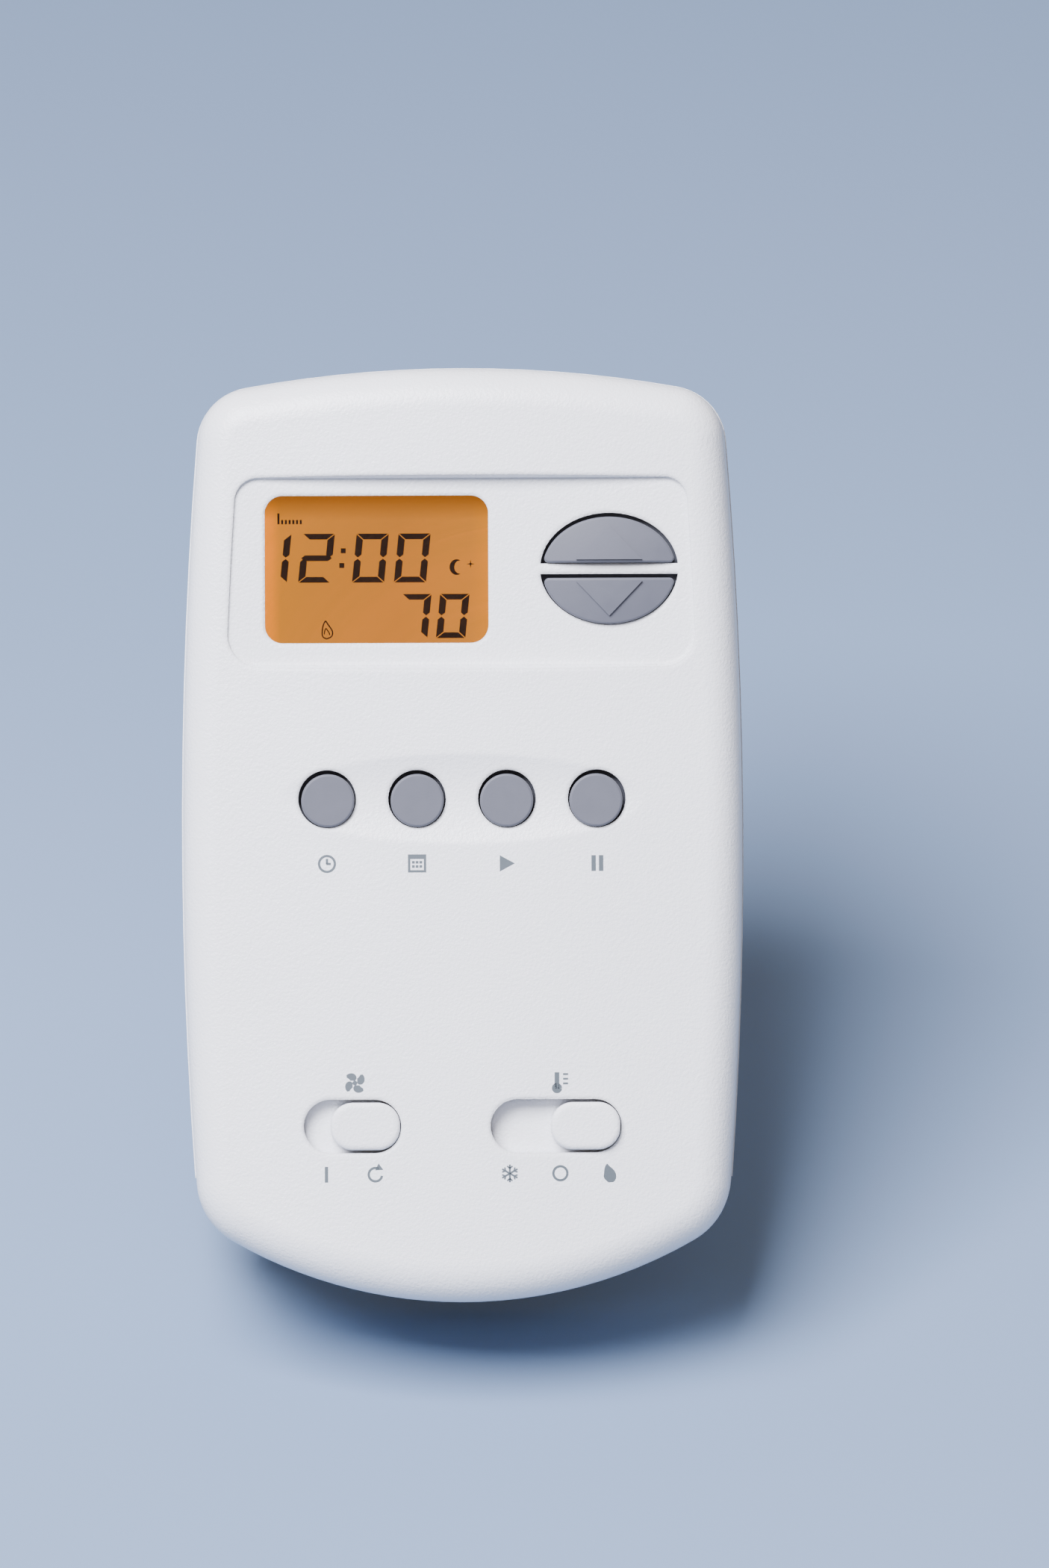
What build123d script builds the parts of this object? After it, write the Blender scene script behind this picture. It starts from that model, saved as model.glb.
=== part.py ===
from build123d import *
import math
import os

# Wall thermostat: a pull-off front cover that carries the electronics, over a base plate that
# screws to the wall. Millimetres. X runs across the front, Z runs up, and the wall is at Y = 0 with
# the room on its -Y side, so a depth is a distance from the wall into the room. The origin is the
# centre of the back, on the wall.

# ---- driving dimensions ------------------------------------------------------------------------

# Case outline: four shallow arcs with rounded corners, widest at mid height.
case_width = 72.7
case_height = 121.1
side_radius = 631.0
top_radius = 160.0
bottom_radius = 60.0
top_corner = 7.5
bottom_corner = 9.5

# Front cover shell.
front_depth = 28.6  # from the wall to the crown of the front
front_radius = 300.0  # the front is bowed across its width
side_draft = 1.0  # degrees
front_edge_round = 4.8
cover_wall = 2.2
cover_rim_depth = 1.7

# Sunk panel around the display and the two large keys.
panel_side_inset = 5.75
panel_bottom = 21.9
panel_top = 46.0
panel_top_corner = 3.0
panel_bottom_corner = 4.0
panel_drop = 1.8  # below the crown of the front
panel_flare = 14.0  # degrees, slope of the panel's rim
panel_floor = 1.6
panel_pan_wall = 1.4

# Display window and the oval that holds the up and down keys, on one centre line.
display_x = -10.9
display_z = 34.3
display_width = 28.8
display_height = 19.0
display_corner = 2.3
oval_x = 19.05
oval_half_width = 8.9
oval_half_height = 7.2
oval_bridge = 1.34

# Scooped row of four round keys.
row_z = 4.74
scoop_drop = 0.91
scoop_half_height = 5.75
row_hole_pitch = 11.57
row_hole_radius = 3.72

# Two sliding knobs near the bottom.
slider_z = -37.4
knob_length = 8.95
knob_height = 6.1
knob_corner = 2.85
knob_rise = 0.8  # above the front
knob_round = 0.45
knob_end_gap = 0.15
slot_side_gap = 0.4
fan_slot_right = -7.95
fan_travel = 3.3
system_slot_right = 20.4
system_travel = 7.6
skirt_height = 8.8
skirt_thickness = 1.0
skirt_drop = 2.6  # from the crown of the front to the skirt
skirt_lap = 0.1
skirt_room = 0.35  # round the skirts, in the pocket inside the cover

# Silicone keypad, cut a little short in pitch and hanging a little low in the openings.
key_gap = 0.3
key_sag = 0.22
row_key_pitch = 11.5
row_key_rise = 0.9
key_edge_round = 0.3
key_flange = 0.6
key_flange_thickness = 0.7
key_flange_gap = 0.45
key_travel = 0.9
pill_gap = 1.0  # pill to circuit board, a little over the travel
pill_radius = 1.3
pill_thickness = 0.4
stem_radius = 1.4
dome_foot_radius = 3.2
dome_top_radius = 2.3
dome_wall = 0.4
dome_height = 1.6
web_thickness = 1.0
oval_key_crown = 1.2  # above the panel
oval_key_dome_radius = 44.0
oval_key_corner = 0.6
oval_key_offset = 3.4
arrow_width = 8.5
arrow_height = 4.45
arrow_gap = 1.4  # from the arrow's base to the oval's centre line
arrow_rise = 0.3

# Circuit board and what stands on it.
board_drop = 8.9  # from the crown of the front to the board
board_thickness = 1.6
board_half_width = 29.5
board_bottom = -48.5
board_top = 53.5
board_corner = 4.0
boss_x = 26.0
boss_top_z = 49.5
boss_bottom_z = -46.0
boss_radius = 2.4
boss_pilot_radius = 0.9
boss_pilot_depth = 5.0
board_screw_hole = 1.3
board_screw_radius = 0.85
board_screw_length = 6.0
board_screw_head_radius = 2.0
board_screw_head = 1.4

# Display stack, from the board to the window.
cell_width = 33.0
cell_height = 22.5
film = 0.2
glass = 0.7
cell_gap = 0.3  # to the window
window_thickness = 0.8
window_margin = 1.0
frame_wall = 1.0
frame_lip = 0.9
frame_lip_thickness = 0.2
fit = 0.1
zebra_width = 1.3
light_guide_thickness = 2.1
led_size = (1.2, 1.8, 3.0)
led_pitch = 9.0

# Slide switches on the board.
switch_height = 3.4
switch_width = 6.0
switch_margin = 4.0
switch_slot_depth = 1.6
lever_size = 1.9
lever_seat = 1.3
lever_bite = 1.1  # into the knob, past its skirt

# Two AA cells lying across the case, behind the board.
battery_radius = 7.1
battery_length = 50.5
battery_nub_radius = 2.7
battery_nub = 1.3
battery_edge_round = 0.6
battery_pitch = 15.0
battery_z = 30.1
holder_wall = 1.2
holder_end = 1.5
holder_floor = 0.7
holder_reach = 3.2  # of its walls past the cells' centre lines
contact_thickness = 0.3
contact_width = 6.0
contact_room = 1.5  # between a cell's end and the holder's end wall

# Parts soldered behind the board.
relay_size = (15.0, 9.5, 10.0)
relay_count = 3
relay_pitch = 18.0
relay_z = 7.5
capacitor_radius = 3.2
capacitor_height = 8.0
capacitor_place = (25.0, -8.0)
chip_size = (12.0, 1.6, 12.0)
chip_z = -16.0
selector_place = (-22.0, -8.0)
selector_size = (8.6, 3.4, 3.8)
selector_lever = 1.5
selector_travel = 2.0
selector_rise = 2.2
sensor_place = (8.0, -45.0)
sensor_radius = 1.1
sensor_reach = 4.5
sensor_lead_radius = 0.25
sensor_lead_pitch = 1.2

# Wall base.
base_floor = 2.0
base_flange = 1.4
base_flange_proud = 0.15
base_flange_tuck = 0.5
base_flange_end_z = -44.5
base_rim_gap = 0.45
base_rim_wall = 1.5
base_rim_depth = 7.0
mounting_hole_pitch = 83.3
mounting_hole_radius = 2.3
mounting_pad_radius = 5.5
mounting_pad = 0.6
wire_opening = (40.0, 14.0)
wire_opening_z = 9.0
wire_opening_corner = 3.0
vent_count = 9
vent_pitch = 5.0
vent_width = 1.4
vent_start = 9.0
vent_end = 17.0

# Terminal block with six screw terminals, and the sockets that the cover's pins plug into.
terminal_count = 6
terminal_pitch = 8.0
block_top_z = -10.5
block_bottom_z = -32.0
block_height = 7.0
block_margin = 5.0
block_wall = 1.5
bay_width = 6.2
bay_floor = 2.0
socket_z = -28.0
plate_width = 5.6
plate_margin = 0.3
plate_thickness = 1.0
screw_z = -15.5
terminal_screw_radius = 1.6
terminal_screw_head_radius = 2.7
terminal_screw_head = 2.0
terminal_screw_length = 2.8
screw_slot = 0.8
screw_hole_gap = 0.1
pin_size = 0.7
pin_tip_depth = 6.5
pin_tail = 0.7
pin_strip_height = 2.5
pin_strip_width = 2.6
fork_tine = 0.4
fork_gap = 0.08
fork_height = 4.5
jumper_radius = 0.5
jumper_bend = 1.2
jumper_end_z = -12.6
jumper_out = 1.2  # past the block's open end

# ---- sizes worked out from those -----------------------------------------------------------------

side_centre_x = case_width / 2 - side_radius
panel_depth = front_depth - panel_drop
panel_back = panel_depth - panel_floor
inner_front_radius = front_radius - cover_wall
scoop_radius = (scoop_half_height**2 + scoop_drop**2) / (2 * scoop_drop)
row_key_top = front_depth - scoop_drop + row_key_rise
board_front = front_depth - board_drop
board_back = board_front - board_thickness
web_front = board_front + web_thickness
key_bottom = web_front + dome_height
pill_bottom = board_front + pill_gap
row_flange_front = front_depth - cover_wall - 0.5 - key_flange_gap
oval_flange_front = panel_back - key_flange_gap
skirt_front = front_depth - skirt_drop
skirt_back = skirt_front - skirt_thickness
knob_top = front_depth + knob_rise - 0.4
window_back = panel_back - window_thickness
cell_front = window_back - cell_gap
cell_back = cell_front - 2 * (glass + film)
switch_top = board_front + switch_height
lever_top = skirt_front + lever_bite
holder_front = board_back - holder_floor
battery_depth = holder_front - fit - battery_radius
holder_rear = battery_depth - holder_reach
block_half_width = (terminal_count - 1) / 2 * terminal_pitch + block_margin
plate_depth = base_floor + bay_floor
plate_front = plate_depth + plate_thickness

os.makedirs("parts", exist_ok=True)


def plane_at(depth):
    """Sketch plane at this depth from the wall: sketch x is X, sketch y is Z, extruding goes roomward."""
    return Plane.XZ.offset(depth)


def front_at(x, radius=front_radius, crown=front_depth):
    """Depth of the bowed front, or of its inner face, at this distance from the middle."""
    return crown - radius + math.sqrt(radius**2 - x**2)


def save(part, name):
    """Labels a finished piece and writes it as one STEP file."""
    part.label = name
    export_step(part, f"parts/{name}.step")


def arcs_meet(end_radius, way, inset):
    """Point where the right side arc meets the top (way 1) or bottom (way -1) arc, both shrunk by inset."""
    end_centre_z = way * (case_height / 2 - end_radius)
    side, end = side_radius - inset, end_radius - inset
    apart = math.hypot(side_centre_x, end_centre_z)
    along = (side**2 - end**2 + apart**2) / (2 * apart)
    across = way * math.sqrt(side**2 - along**2)
    ux, uz = -side_centre_x / apart, end_centre_z / apart
    return (side_centre_x + along * ux - across * uz, along * uz + across * ux)


def flipped(point):
    """The same point on the other side of the middle."""
    return (-point[0], point[1])


def case_outline(depth, inset=0.0):
    """Face with the case's outline at this depth, shrunk evenly by inset."""
    top_right = arcs_meet(top_radius, 1, inset)
    bottom_right = arcs_meet(bottom_radius, -1, inset)
    half_width, half_height = case_width / 2 - inset, case_height / 2 - inset
    with BuildSketch(plane_at(depth)) as outline:
        with BuildLine():
            ThreePointArc(bottom_right, (half_width, 0), top_right)
            ThreePointArc(top_right, (0, half_height), flipped(top_right))
            ThreePointArc(flipped(top_right), (-half_width, 0), flipped(bottom_right))
            ThreePointArc(flipped(bottom_right), (0, -half_height), bottom_right)
        make_face()
        fillet(outline.vertices().group_by(Axis.Y)[-1], top_corner - inset)
        fillet(outline.vertices().group_by(Axis.Y)[0], bottom_corner - inset)
    return outline.sketch


def panel_outline(depth, grow=0.0):
    """Face with the sunk panel's outline: its sides follow the case's, its ends are straight."""
    low, high = panel_bottom - grow, panel_top + grow
    reach = side_radius - panel_side_inset + grow
    low_right = (side_centre_x + math.sqrt(reach**2 - low**2), low)
    high_right = (side_centre_x + math.sqrt(reach**2 - high**2), high)
    middle = (low + high) / 2
    bow = side_centre_x + math.sqrt(reach**2 - middle**2)
    with BuildSketch(plane_at(depth)) as outline:
        with BuildLine():
            ThreePointArc(low_right, (bow, middle), high_right)
            Line(high_right, flipped(high_right))
            ThreePointArc(flipped(high_right), (-bow, middle), flipped(low_right))
            Line(flipped(low_right), low_right)
        make_face()
        fillet(outline.vertices().group_by(Axis.Y)[-1], panel_top_corner + grow)
        fillet(outline.vertices().group_by(Axis.Y)[0], panel_bottom_corner + grow)
    return outline.sketch


def half_ovals(depth, shrink=0.0, lower=0.0, halves=(1, -1), corner=0.0):
    """Upper (1) and lower (-1) halves of the key oval, each shrunk evenly and hung lower."""
    with BuildSketch(plane_at(depth)) as shape:
        with Locations((oval_x, display_z - lower)):
            Ellipse(oval_half_width - shrink, oval_half_height - shrink)
            Rectangle(3 * oval_half_width, oval_bridge + 2 * shrink, mode=Mode.SUBTRACT)
            for half in (1, -1):
                if half not in halves:
                    with Locations((0, half * oval_half_height)):
                        Rectangle(3 * oval_half_width, 2 * oval_half_height, mode=Mode.SUBTRACT)
        if corner:
            fillet(shape.vertices(), corner)
    return shape.sketch


def block_at(x, z, depth, size_x, size_z, size_depth, mode=Mode.ADD):
    """Box centred on x and z whose wall side is at this depth."""
    with Locations((x, -(depth + size_depth / 2), z)):
        Box(size_x, size_depth, size_z, mode=mode)


def post_at(x, z, depth, radius, height, mode=Mode.ADD):
    """Round post centred on x and z whose wall end is at this depth."""
    with Locations(Location((x, -(depth + height / 2), z), (90, 0, 0))):
        Cylinder(radius, height, mode=mode)


fan_slot_length = knob_length + fan_travel + 2 * knob_end_gap
system_slot_length = knob_length + system_travel + 2 * knob_end_gap
fan_slot_x = fan_slot_right - fan_slot_length / 2
system_slot_x = system_slot_right - system_slot_length / 2
slot_height = knob_height + 2 * slot_side_gap
row_holes = [(i - 1.5) * row_hole_pitch for i in range(4)]
row_keys = [(i - 1.5) * row_key_pitch for i in range(4)]
terminals = [(i - (terminal_count - 1) / 2) * terminal_pitch for i in range(terminal_count)]
boss_places = [(x, z) for x in (-boss_x, boss_x) for z in (boss_bottom_z, boss_top_z)]

# ---- front cover ---------------------------------------------------------------------------------

# Hollow of the cover: the case's outline set in by the wall, up to the inside of the bowed front.
with BuildPart() as cover_hollow:
    extrude(case_outline(cover_rim_depth, cover_wall), amount=front_depth, taper=side_draft)
    with Locations((0, front_radius - front_depth, 0)):
        Cylinder(inner_front_radius, 2 * case_height, mode=Mode.INTERSECT)
    fillet(cover_hollow.faces().sort_by(Axis.Y)[0].edges(), front_edge_round - cover_wall)

# Cutter for the sunk panel: flat floor, flaring rim.
with BuildPart() as panel_cutter:
    extrude(panel_outline(panel_depth), amount=2 * panel_drop, taper=-panel_flare)

with BuildPart() as front_cover:
    extrude(case_outline(cover_rim_depth), amount=front_depth, taper=side_draft)
    with Locations((0, front_radius - front_depth, 0)):
        Cylinder(front_radius, 2 * case_height, mode=Mode.INTERSECT)
    fillet(front_cover.faces().sort_by(Axis.Y)[0].edges(), front_edge_round)
    add(cover_hollow.part, mode=Mode.SUBTRACT)
    # Pan that backs the sunk panel, and bosses that hold the circuit board.
    extrude(panel_outline(panel_back, panel_pan_wall), amount=panel_floor)
    for x, z in boss_places:
        post_at(x, z, board_front, boss_radius, front_at(x) - 0.5 * cover_wall - board_front)
        post_at(x, z, board_front, boss_pilot_radius, boss_pilot_depth, Mode.SUBTRACT)
    add(panel_cutter.part, mode=Mode.SUBTRACT)
    # Horizontal scoop for the key row.
    with Locations(Location((0, -(front_depth - scoop_drop + scoop_radius), row_z), (0, 90, 0))):
        Cylinder(scoop_radius, case_width, mode=Mode.SUBTRACT)
    with BuildSketch(plane_at(0)):
        with Locations(*[(x, row_z) for x in row_holes]):
            Circle(row_hole_radius)
    extrude(amount=2 * front_depth, mode=Mode.SUBTRACT)
    extrude(half_ovals(0), amount=2 * front_depth, mode=Mode.SUBTRACT)
    with BuildSketch(plane_at(0)):
        with Locations((display_x, display_z)):
            RectangleRounded(display_width, display_height, display_corner)
        with Locations((fan_slot_x, slider_z)):
            SlotOverall(fan_slot_length, slot_height)
        with Locations((system_slot_x, slider_z)):
            SlotOverall(system_slot_length, slot_height)
    extrude(amount=2 * front_depth, mode=Mode.SUBTRACT)
    # Pocket in the inside of the front, where the knobs' skirts slide.
    pocket_left = fan_slot_right - fan_slot_length - skirt_lap - fan_travel - skirt_room
    pocket_right = system_slot_right + skirt_lap + system_travel + skirt_room
    block_at(
        (pocket_left + pocket_right) / 2,
        slider_z,
        skirt_back,
        pocket_right - pocket_left,
        skirt_height + 2 * skirt_room,
        skirt_thickness + skirt_room,
        Mode.SUBTRACT,
    )
    # Air slots through the top and bottom walls.
    for i in range(vent_count):
        vent_x = (i - (vent_count - 1) / 2) * vent_pitch
        for way in (1, -1):
            block_at(
                vent_x,
                way * case_height / 2,
                vent_start,
                vent_width,
                case_height / 5,
                vent_end - vent_start,
                Mode.SUBTRACT,
            )
save(front_cover.part, "front_cover")

# ---- display -------------------------------------------------------------------------------------

# Clear window, bonded to the back of the sunk panel.
with BuildPart() as display_window:
    with BuildSketch(plane_at(window_back)):
        with Locations((display_x, display_z)):
            RectangleRounded(
                display_width + 2 * window_margin,
                display_height + 2 * window_margin,
                display_corner + window_margin,
            )
    extrude(amount=window_thickness)
save(display_window.part, "display_window")

# The cell's front glass overhangs the rest above and below, and the rubber strips meet it there.
strip_reach = zebra_width + 2 * fit
rear_height = cell_height - 2 * strip_reach
glass_front = cell_front - film
glass_mid = glass_front - glass

with BuildPart() as lcd_front_polarizer:
    block_at(display_x, display_z, glass_front, cell_width - 2, rear_height, film)
save(lcd_front_polarizer.part, "lcd_front_polarizer")

with BuildPart() as lcd_front_glass:
    block_at(display_x, display_z, glass_mid, cell_width, cell_height, glass)
save(lcd_front_glass.part, "lcd_front_glass")

with BuildPart() as lcd_rear_glass:
    block_at(display_x, display_z, glass_mid - glass, cell_width, rear_height, glass)
save(lcd_rear_glass.part, "lcd_rear_glass")

with BuildPart() as lcd_rear_polarizer:
    block_at(display_x, display_z, cell_back, cell_width - 2, rear_height, film)
save(lcd_rear_polarizer.part, "lcd_rear_polarizer")

# Light guide behind the cell, notched at its left end for the two side-lit lamps.
guide_back = cell_back - light_guide_thickness
guide_left = display_x - cell_width / 2
led_places = [(guide_left + led_size[0] / 2, display_z + way * led_pitch / 2) for way in (-1, 1)]

with BuildPart() as light_guide:
    block_at(display_x, display_z, guide_back, cell_width, rear_height - 2 * fit, light_guide_thickness)
    for x, z in led_places:
        block_at(
            x,
            z,
            guide_back,
            led_size[0] + 2 * fit,
            led_size[2] + 2 * fit,
            light_guide_thickness,
            Mode.SUBTRACT,
        )
save(light_guide.part, "light_guide")

with BuildPart() as backlight_leds:
    for x, z in led_places:
        block_at(x, z, board_front, led_size[0], led_size[2], guide_back - board_front + led_size[1])
save(backlight_leds.part, "backlight_leds")

# Frame that stands on the board, carries the guide and closes round the glass with a thin lip.
with BuildPart() as lcd_frame:
    block_at(
        display_x,
        display_z,
        board_front,
        cell_width + 2 * (fit + frame_wall),
        cell_height + 2 * (fit + frame_wall),
        cell_front + frame_lip_thickness - board_front,
    )
    block_at(
        display_x,
        display_z,
        guide_back,
        cell_width + 2 * fit,
        cell_height + 2 * fit,
        cell_front - guide_back,
        Mode.SUBTRACT,
    )
    block_at(
        display_x,
        display_z,
        cell_front,
        cell_width - 2 * frame_lip,
        rear_height - 2 * fit,
        frame_lip_thickness,
        Mode.SUBTRACT,
    )
    for way in (1, -1):
        block_at(
            display_x,
            display_z + way * (cell_height - strip_reach) / 2,
            board_front,
            cell_width + 2 * fit,
            strip_reach,
            guide_back - board_front,
            Mode.SUBTRACT,
        )
    for x, z in led_places:
        block_at(
            x,
            z,
            board_front,
            led_size[0] + 2 * fit,
            led_size[2] + 2 * fit,
            guide_back - board_front,
            Mode.SUBTRACT,
        )
save(lcd_frame.part, "lcd_frame")

with BuildPart() as zebra_strips:
    for way in (1, -1):
        block_at(
            display_x,
            display_z + way * (cell_height - strip_reach) / 2,
            board_front,
            cell_width,
            zebra_width,
            glass_mid - board_front,
        )
save(zebra_strips.part, "zebra_strips")

# ---- keypad --------------------------------------------------------------------------------------

oval_keys = [(oval_x, display_z - key_sag + half * oval_key_offset) for half in (1, -1)]
row_places = [(x, row_z - key_sag) for x in row_keys]
key_places = oval_keys + row_places
key_names = ["up", "down", "row_1", "row_2", "row_3", "row_4"]

# Silicone sheet on the board: a pad under the oval, a pad under the row, and a neck between them.
with BuildPart() as keypad_web:
    with BuildSketch(plane_at(board_front)):
        with Locations((oval_x, display_z)):
            RectangleRounded(2 * oval_half_width + 1, 2 * oval_half_height + 4, 2)
        with Locations((0, row_z)):
            RectangleRounded(4 * row_key_pitch + 1, row_key_pitch, 2)
        with Locations((oval_x, (display_z + row_z) / 2)):
            Rectangle(7, display_z - row_z - row_key_pitch)
        with Locations(*key_places):
            Circle(dome_foot_radius - dome_wall, mode=Mode.SUBTRACT)
    extrude(amount=web_thickness)
save(keypad_web.part, "keypad_web")

for name, (x, z) in zip(key_names, key_places):
    # Thin silicone skirt that joins the key to the sheet and snaps it back.
    with BuildPart() as dome:
        with Locations(Location((x, -(web_front + dome_height / 2), z), (90, 0, 0))):
            Cone(dome_foot_radius, dome_top_radius, dome_height)
            Cone(dome_foot_radius - dome_wall, dome_top_radius - dome_wall, dome_height, mode=Mode.SUBTRACT)
    save(dome.part, f"dome_{name}")

    # Carbon pill that closes the contact on the board.
    with BuildPart() as pill:
        post_at(x, z, pill_bottom, pill_radius, pill_thickness)
    save(pill.part, f"pill_{name}")

for name, (x, z) in zip(key_names[2:], row_places):
    with BuildPart() as row_key:
        post_at(x, z, pill_bottom + pill_thickness, stem_radius, key_bottom - pill_bottom)
        flange_back = row_flange_front - key_flange_thickness
        post_at(x, z, key_bottom, dome_top_radius, row_flange_front - key_bottom)
        post_at(x, z, flange_back, row_hole_radius - key_gap + key_flange, key_flange_thickness)
        post_at(x, z, flange_back, row_hole_radius - key_gap, row_key_top - flange_back)
        fillet(row_key.faces().sort_by(Axis.Y)[0].edges(), key_edge_round)
    save(row_key.part, f"key_{name}")

crown_depth = panel_depth + oval_key_crown
for name, half, (x, z) in zip(key_names, (1, -1), oval_keys):
    # Half of the oval under a shallow common dome, with a raised arrow.
    sphere_centre = (oval_x, -(crown_depth - oval_key_dome_radius), display_z - key_sag)
    with BuildPart() as arrow:
        with BuildSketch(plane_at(panel_depth)):
            base_z = display_z - key_sag + half * arrow_gap
            with BuildLine():
                Polyline(
                    (oval_x - arrow_width / 2, base_z),
                    (oval_x + arrow_width / 2, base_z),
                    (oval_x, base_z + half * arrow_height),
                    close=True,
                )
            make_face()
        extrude(amount=2 * oval_key_crown)
        with Locations(sphere_centre):
            Sphere(oval_key_dome_radius + arrow_rise, mode=Mode.INTERSECT)
    with BuildPart() as oval_key:
        flange_back = oval_flange_front - key_flange_thickness
        extrude(
            half_ovals(flange_back, key_gap, key_sag, (half,), oval_key_corner),
            amount=2 * oval_key_crown + crown_depth - flange_back,
        )
        with Locations(sphere_centre):
            Sphere(oval_key_dome_radius, mode=Mode.INTERSECT)
        fillet(oval_key.faces().sort_by(Axis.Y)[0].edges(), key_edge_round)
        add(arrow.part)
        extrude(
            half_ovals(flange_back, key_gap - key_flange, key_sag, (half,), oval_key_corner),
            amount=key_flange_thickness,
        )
        post_at(x, z, key_bottom, dome_top_radius, oval_flange_front - key_bottom)
        post_at(x, z, pill_bottom + pill_thickness, stem_radius, key_bottom - pill_bottom)
    save(oval_key.part, f"key_{name}")

# ---- sliders -------------------------------------------------------------------------------------

sliders = [("fan", fan_slot_right, fan_slot_length, fan_travel)]
sliders.append(("system", system_slot_right, system_slot_length, system_travel))
for name, slot_right, slot_length, travel in sliders:
    # At rest the knob stands at the right end of its slot.
    knob_x = slot_right - knob_end_gap - knob_length / 2
    skirt_right = slot_right + skirt_lap + travel
    skirt_left = slot_right - slot_length - skirt_lap
    with BuildPart() as knob:
        block_at(
            (skirt_right + skirt_left) / 2,
            slider_z,
            skirt_back,
            skirt_right - skirt_left,
            skirt_height,
            skirt_thickness,
        )
        with BuildSketch(plane_at(skirt_front)):
            with Locations((knob_x, slider_z)):
                RectangleRounded(knob_length, knob_height, knob_corner)
        extrude(amount=knob_top - skirt_front)
        fillet(knob.faces().sort_by(Axis.Y)[0].edges(), knob_round)
        block_at(
            knob_x,
            slider_z,
            skirt_back,
            lever_size + 2 * fit,
            lever_size + 2 * fit,
            lever_top + fit - skirt_back,
            Mode.SUBTRACT,
        )
    save(knob.part, f"{name}_knob")

    with BuildPart() as lever:
        lever_foot = switch_top - lever_seat
        block_at(knob_x, slider_z, lever_foot, lever_size, lever_size, lever_top - lever_foot)
    save(lever.part, f"{name}_lever")

    with BuildPart() as switch:
        block_at(
            knob_x - travel / 2,
            slider_z,
            board_front,
            travel + 2 * switch_margin,
            switch_width,
            switch_height,
        )
        block_at(
            knob_x - travel / 2,
            slider_z,
            switch_top - switch_slot_depth,
            travel + lever_size + 4 * fit,
            lever_size + 2 * fit,
            switch_slot_depth,
            Mode.SUBTRACT,
        )
    save(switch.part, f"{name}_switch")

# ---- circuit board and what is soldered to it -----------------------------------------------------

with BuildPart() as main_board:
    with BuildSketch(plane_at(board_back)):
        with Locations((0, (board_top + board_bottom) / 2)):
            RectangleRounded(2 * board_half_width, board_top - board_bottom, board_corner)
        with Locations(*boss_places):
            Circle(board_screw_hole, mode=Mode.SUBTRACT)
    extrude(amount=board_thickness)
save(main_board.part, "main_board")

with BuildPart() as board_screws:
    for x, z in boss_places:
        post_at(x, z, board_back - board_screw_head, board_screw_head_radius, board_screw_head)
        post_at(x, z, board_back, board_screw_radius, board_screw_length)
save(board_screws.part, "board_screws")

with BuildPart() as control_chip:
    block_at(0, chip_z, board_back - chip_size[1], chip_size[0], chip_size[2], chip_size[1])
save(control_chip.part, "control_chip")

with BuildPart() as relays:
    for i in range(relay_count):
        block_at(
            (i - (relay_count - 1) / 2) * relay_pitch,
            relay_z,
            board_back - relay_size[2],
            relay_size[0],
            relay_size[1],
            relay_size[2],
        )
save(relays.part, "relays")

with BuildPart() as capacitor:
    post_at(*capacitor_place, board_back - capacitor_height, capacitor_radius, capacitor_height)
    fillet(capacitor.faces().sort_by(Axis.Y)[-1].edges(), 0.4)
save(capacitor.part, "capacitor")

# Temperature sensor: a bead on two leads, low in the case where the room air comes in.
with BuildPart() as thermistor:
    x, z = sensor_place
    with Locations((x, -(board_back - sensor_reach), z)):
        Sphere(sensor_radius)
    for way in (1, -1):
        post_at(
            x + way * sensor_lead_pitch / 2, z, board_back - sensor_reach, sensor_lead_radius, sensor_reach
        )
save(thermistor.part, "thermistor")

# Small selector on the back of the board, set once when the thermostat is fitted.
selector_x, selector_z = selector_place
selector_top = board_back - selector_size[2]
with BuildPart() as selector_body:
    block_at(selector_x, selector_z, selector_top, selector_size[0], selector_size[1], selector_size[2])
    block_at(
        selector_x,
        selector_z,
        selector_top,
        selector_travel + selector_lever + 4 * fit,
        selector_lever + 2 * fit,
        selector_size[2] / 2,
        Mode.SUBTRACT,
    )
save(selector_body.part, "selector_body")

with BuildPart() as selector_lever_block:
    block_at(
        selector_x - selector_travel / 2,
        selector_z,
        selector_top - selector_rise,
        selector_lever,
        selector_lever,
        selector_rise + selector_size[2] / 2 - 3 * fit,
    )
save(selector_lever_block.part, "selector_lever")

# Pins that plug into the wall base, moulded into one strip.
with BuildPart() as pin_strip:
    block_at(
        0,
        socket_z,
        board_back - pin_strip_height,
        terminal_count * terminal_pitch,
        pin_strip_width,
        pin_strip_height,
    )
    for x in terminals:
        block_at(
            x, socket_z, board_back - pin_strip_height, pin_size, pin_size, pin_strip_height, Mode.SUBTRACT
        )
save(pin_strip.part, "pin_strip")

with BuildPart() as header_pins:
    for x in terminals:
        block_at(x, socket_z, pin_tip_depth, pin_size, pin_size, board_back - pin_tip_depth)
save(header_pins.part, "header_pins")

# ---- batteries -----------------------------------------------------------------------------------

holder_half_length = battery_length / 2 + contact_room
holder_half_height = battery_pitch / 2 + battery_radius + 2 * fit
with BuildPart() as battery_holder:
    block_at(
        0,
        battery_z,
        holder_rear,
        2 * (holder_half_length + holder_end),
        2 * (holder_half_height + holder_wall),
        board_back - holder_rear,
    )
    block_at(
        0,
        battery_z,
        holder_rear,
        2 * holder_half_length,
        2 * holder_half_height,
        holder_front - holder_rear,
        Mode.SUBTRACT,
    )
    # Low rib between the cells.
    block_at(0, battery_z, holder_front - 2.5, 2 * holder_half_length, 0.6, 2.5)
save(battery_holder.part, "battery_holder")

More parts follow.
